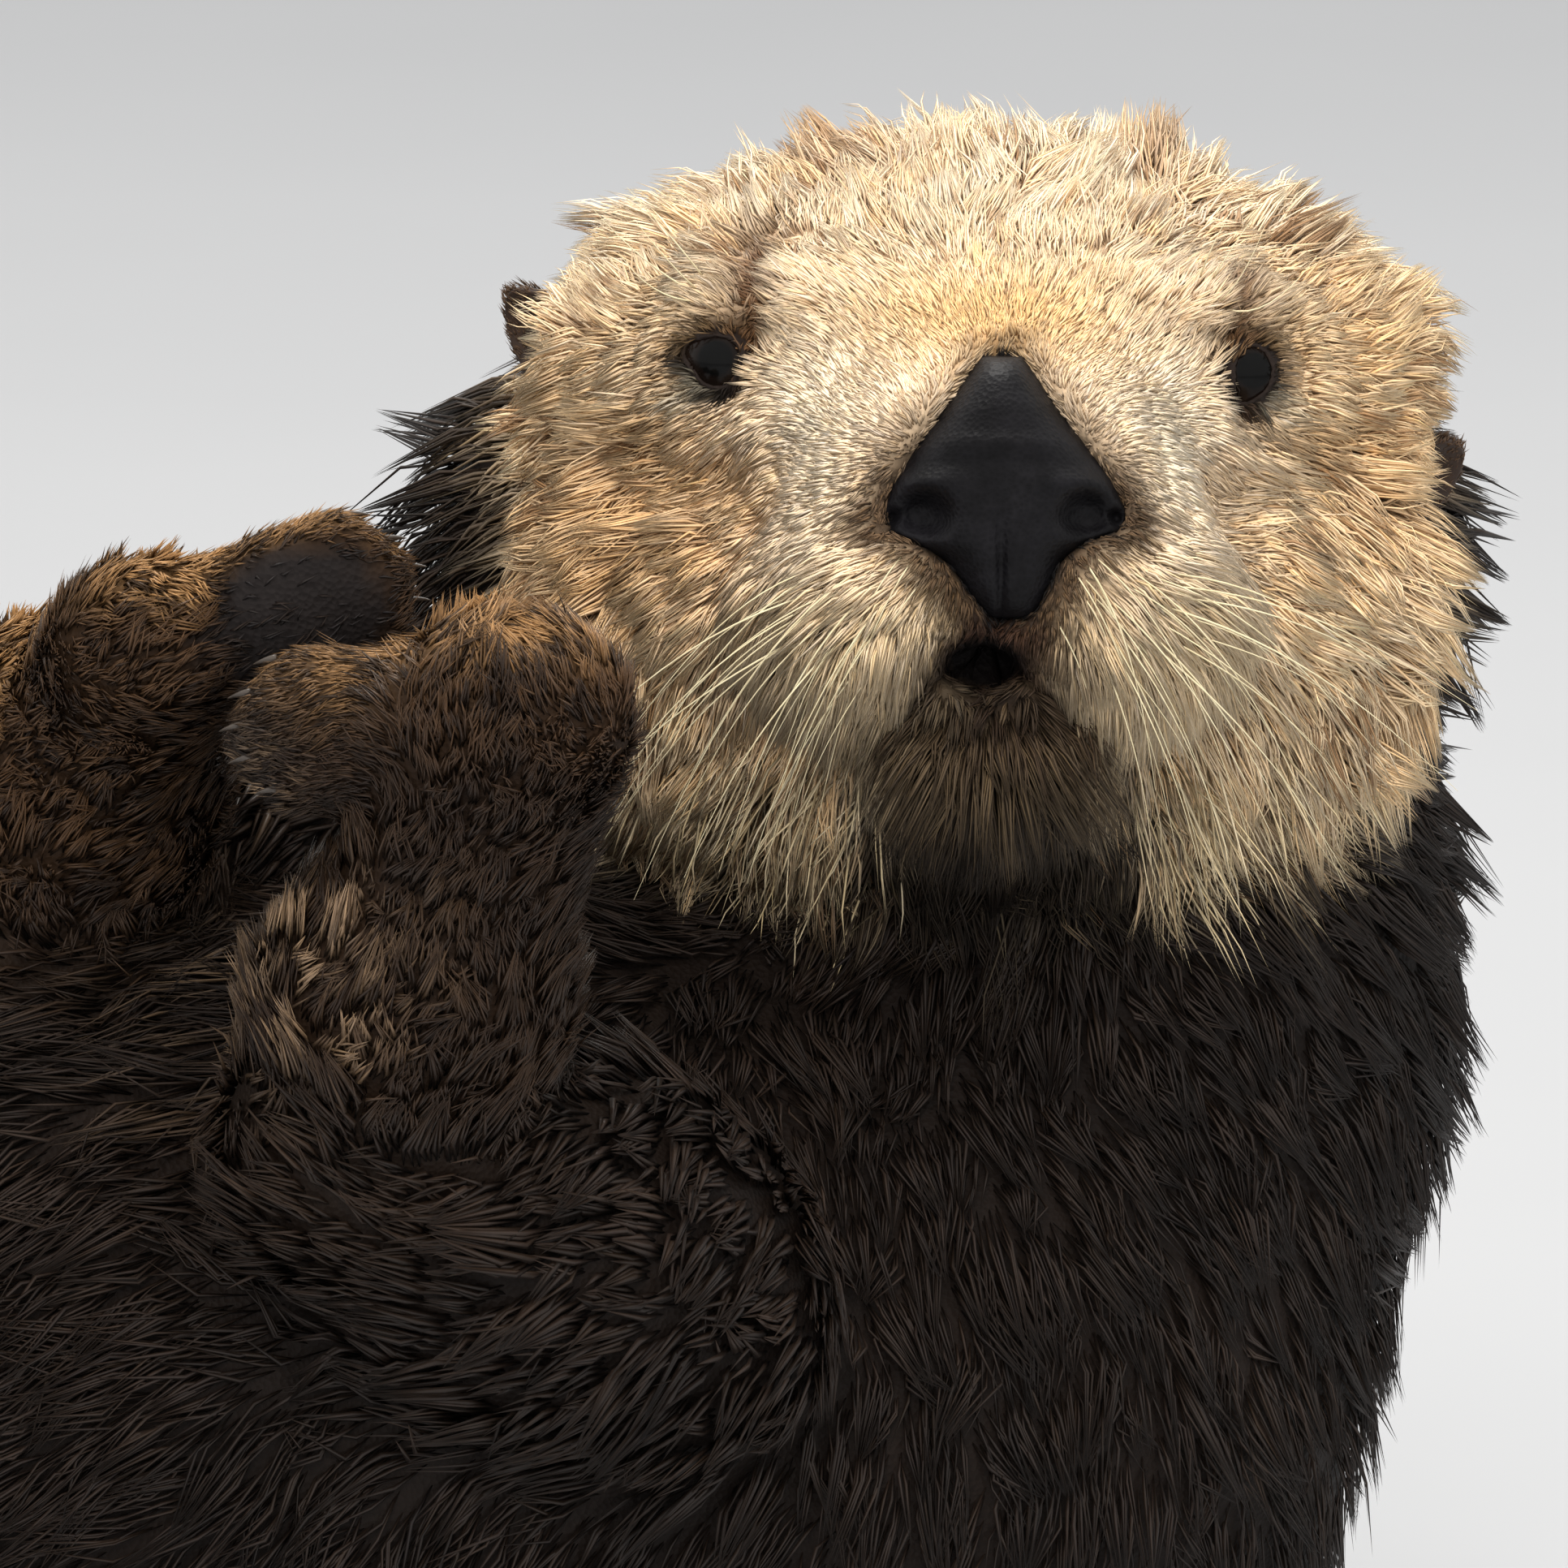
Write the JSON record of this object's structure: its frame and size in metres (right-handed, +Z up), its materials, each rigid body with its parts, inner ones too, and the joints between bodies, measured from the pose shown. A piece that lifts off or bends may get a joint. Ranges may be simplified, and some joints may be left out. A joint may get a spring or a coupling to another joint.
{
  "type": "sea otter",
  "caption": "Life-size sea otter lying on its back, head raised and turned to one side, forepaws held up together and hind flippers raised.",
  "frame": {"origin": "floor level, under the middle of the overall box", "axes": "+X from the tail towards the head, +Z up, away from the floor; the face looks towards -Y, so -Y is the animal's left side"},
  "size_m": [1.1886, 0.457, 0.346],
  "materials": {
    "coat_head": "pale straw-blond fur",
    "coat_body": "dense near-black brown fur, damp",
    "coat_arm": "short brown fur with golden tips",
    "nose_skin": "black pebbled skin, slightly moist",
    "eye": "polished near-black",
    "ear_skin": "dark brown skin with short down",
    "flipper_skin": "dark brown webbed skin with short fur"
  },
  "bodies": {
    "root": {"head": "coat_head", "muzzle": "coat_head", "jaw": "coat_head", "nose": "nose_skin", "eye_L": "eye", "eye_R": "eye", "ear_L": "ear_skin", "ear_R": "ear_skin", "neck": "coat_body", "chest": "coat_body", "belly": "coat_body", "rump": "coat_body", "tail": "coat_body", "upper_arm_L": "coat_body", "upper_arm_R": "coat_body", "forearm_L": "coat_arm", "forearm_R": "coat_arm", "forepaw_L": "coat_arm", "forepaw_R": "coat_arm", "thigh_L": "coat_body", "thigh_R": "coat_body", "shank_L": "coat_body", "shank_R": "coat_body", "hind_flipper_L": "flipper_skin", "hind_flipper_R": "flipper_skin"}
  },
  "joints": []
}
